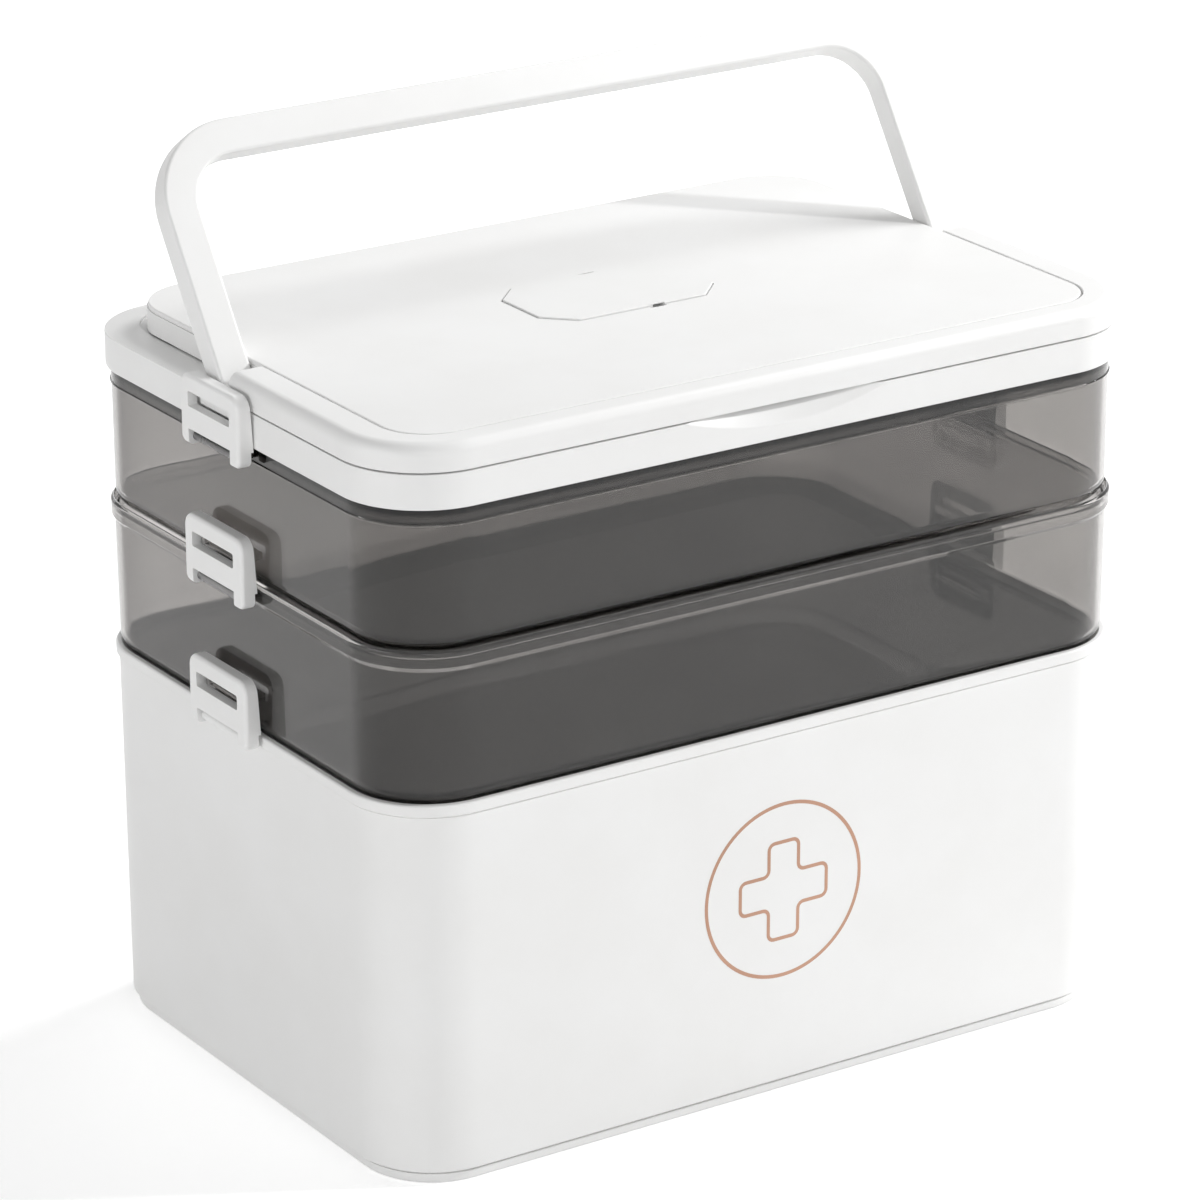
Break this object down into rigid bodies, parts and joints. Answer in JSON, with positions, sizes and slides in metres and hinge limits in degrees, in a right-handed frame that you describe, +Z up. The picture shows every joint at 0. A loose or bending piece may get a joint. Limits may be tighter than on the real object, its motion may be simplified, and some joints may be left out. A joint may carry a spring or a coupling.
{
  "type": "medicine storage box",
  "caption": "White and smoke-grey medicine storage box of stacked tiers held by snap clips, with a flip cover over a shallow lid compartment and a folding carry handle.",
  "frame": {"origin": "centre of the base's underside, on the surface the box stands on", "axes": "+X is the box's right as seen from the front, the front faces -Y, +Z is up"},
  "size_m": [0.3382, 0.226, 0.3526],
  "materials": {
    "white_shell": "satin moulded polypropylene, fine spark-eroded grain",
    "smoke_tray": "clear smoke-tinted styrene, glossy, see-through",
    "badge_plate": "smooth satin insert, a shade darker than the panel",
    "print_ink": "rose-gold metallic ink of the printed emblem",
    "steel_pin": "drawn steel wire, bright"
  },
  "bodies": {
    "base": {"base_box": "white_shell", "clip_pin_lower_left": "steel_pin", "clip_pin_lower_right": "steel_pin"},
    "middle": {"middle_tray": "smoke_tray", "clip_pin_middle_left": "steel_pin", "clip_pin_middle_right": "steel_pin"},
    "upper": {"upper_tray": "smoke_tray", "clip_pin_upper_left": "steel_pin", "clip_pin_upper_right": "steel_pin"},
    "lid": {"lid_body": "white_shell", "handle_pin_left": "steel_pin", "handle_pin_right": "steel_pin", "cover_pin_left": "steel_pin", "cover_pin_right": "steel_pin"},
    "cover": {"flip_cover": "white_shell", "cover_panel": "white_shell", "top_badge": "badge_plate"},
    "bail": {"handle": "white_shell"},
    "lower_left_clip": {"clip_lower_left": "white_shell"},
    "lower_right_clip": {"clip_lower_right": "white_shell"},
    "middle_left_clip": {"clip_middle_left": "white_shell"},
    "middle_right_clip": {"clip_middle_right": "white_shell"},
    "upper_left_clip": {"clip_upper_left": "white_shell"},
    "upper_right_clip": {"clip_upper_right": "white_shell"}
  },
  "joints": [
    {"name": "middle_lift", "type": "slide", "parent": "base", "child": "middle", "axis": [0, 0, 1], "range_m": [0, 0.08]},
    {"name": "upper_lift", "type": "slide", "parent": "middle", "child": "upper", "axis": [0, 0, 1], "range_m": [0, 0.08]},
    {"name": "lid_lift", "type": "slide", "parent": "upper", "child": "lid", "axis": [0, 0, 1], "range_m": [0, 0.08]},
    {"name": "cover_hinge", "type": "hinge", "parent": "lid", "child": "cover", "pos_m": [0, 0.0962, 0.2742], "axis": [-1, 0, 0], "range_deg": [0, 39]},
    {"name": "handle_pivot", "type": "hinge", "parent": "lid", "child": "bail", "pos_m": [0, 0.0156, 0.26], "axis": [-1, 0, 0], "range_deg": [0, 56.1]},
    {"name": "clip_lower_left_hinge", "type": "hinge", "parent": "base", "child": "lower_left_clip", "pos_m": [-0.166, 0, 0.1451], "axis": [0, -1, 0], "range_deg": [-3.5, 160]},
    {"name": "clip_lower_right_hinge", "type": "hinge", "parent": "base", "child": "lower_right_clip", "pos_m": [0.166, 0, 0.1451], "axis": [0, 1, 0], "range_deg": [-3.5, 160]},
    {"name": "clip_middle_left_hinge", "type": "hinge", "parent": "middle", "child": "middle_left_clip", "pos_m": [-0.166, 0, 0.1988], "axis": [0, -1, 0], "range_deg": [-3.5, 160]},
    {"name": "clip_middle_right_hinge", "type": "hinge", "parent": "middle", "child": "middle_right_clip", "pos_m": [0.166, 0, 0.1988], "axis": [0, 1, 0], "range_deg": [-3.5, 160]},
    {"name": "clip_upper_left_hinge", "type": "hinge", "parent": "upper", "child": "upper_left_clip", "pos_m": [-0.166, 0, 0.2514], "axis": [0, -1, 0], "range_deg": [-3.5, 160]},
    {"name": "clip_upper_right_hinge", "type": "hinge", "parent": "upper", "child": "upper_right_clip", "pos_m": [0.166, 0, 0.2514], "axis": [0, 1, 0], "range_deg": [-3.5, 160]}
  ]
}
